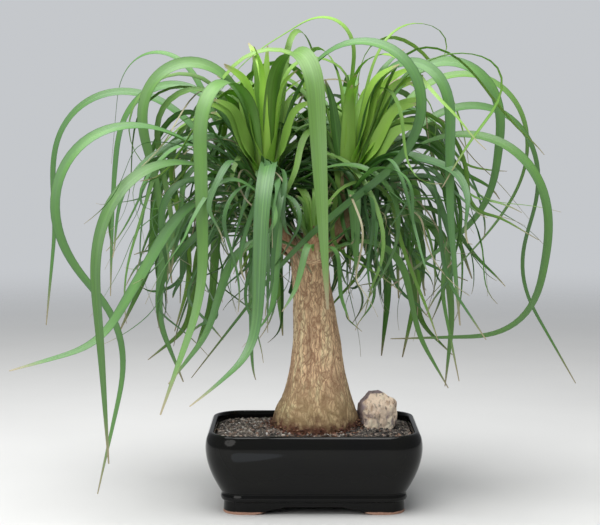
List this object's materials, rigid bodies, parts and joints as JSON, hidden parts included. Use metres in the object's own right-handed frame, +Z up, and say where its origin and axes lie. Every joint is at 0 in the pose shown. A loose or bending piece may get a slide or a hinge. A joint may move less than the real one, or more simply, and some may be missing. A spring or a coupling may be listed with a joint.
{
  "type": "potted ponytail palm",
  "caption": "Small bonsai-grown ponytail palm with long arching leaves and a swollen trunk, planted in a low glazed rectangular pot.",
  "frame": {"origin": "middle of the pot's base, on the surface that its feet stand on", "axes": "+X along the pot's long side and the plant's widest spread, -Y the front, +Z up"},
  "size_m": [0.5163, 0.398, 0.4522],
  "materials": {
    "glaze": "gloss black glaze, bare clay under the feet",
    "screen": "moulded plastic mesh",
    "grit": "loose grey-brown grit with pale grains",
    "bark": "tan bark with fine upright cracks",
    "stone": "rough cream stone with grey-purple veins",
    "leaf": "smooth, slightly waxy green leaf with fine lengthwise ribs"
  },
  "bodies": {
    "root": {"pot": "glaze", "drain_screen_left": "screen", "drain_screen_right": "screen", "soil": "grit", "trunk": "bark", "stone": "stone", "left_leaf_1": "leaf", "left_leaf_2": "leaf", "left_leaf_3": "leaf", "left_leaf_4": "leaf", "left_leaf_5": "leaf", "left_leaf_6": "leaf", "left_leaf_7": "leaf", "left_leaf_8": "leaf", "left_leaf_9": "leaf", "left_leaf_10": "leaf", "left_leaf_11": "leaf", "left_leaf_12": "leaf", "left_leaf_13": "leaf", "left_leaf_14": "leaf", "right_leaf_1": "leaf", "right_leaf_2": "leaf", "right_leaf_3": "leaf", "right_leaf_4": "leaf", "right_leaf_5": "leaf", "right_leaf_6": "leaf", "right_leaf_7": "leaf", "right_leaf_8": "leaf", "right_leaf_9": "leaf", "right_leaf_10": "leaf", "right_leaf_11": "leaf", "right_leaf_12": "leaf", "back_left_leaf_1": "leaf", "back_left_leaf_2": "leaf", "back_left_leaf_3": "leaf", "back_left_leaf_4": "leaf", "back_left_leaf_5": "leaf", "back_left_leaf_6": "leaf", "back_left_leaf_7": "leaf", "back_left_leaf_8": "leaf", "back_left_leaf_9": "leaf", "back_right_leaf_1": "leaf", "back_right_leaf_2": "leaf", "back_right_leaf_3": "leaf", "back_right_leaf_4": "leaf", "back_right_leaf_5": "leaf", "back_right_leaf_6": "leaf", "back_right_leaf_7": "leaf", "back_right_leaf_8": "leaf", "back_right_leaf_9": "leaf", "front_leaf_1": "leaf", "front_leaf_2": "leaf", "front_leaf_3": "leaf", "front_leaf_4": "leaf"}
  },
  "joints": []
}
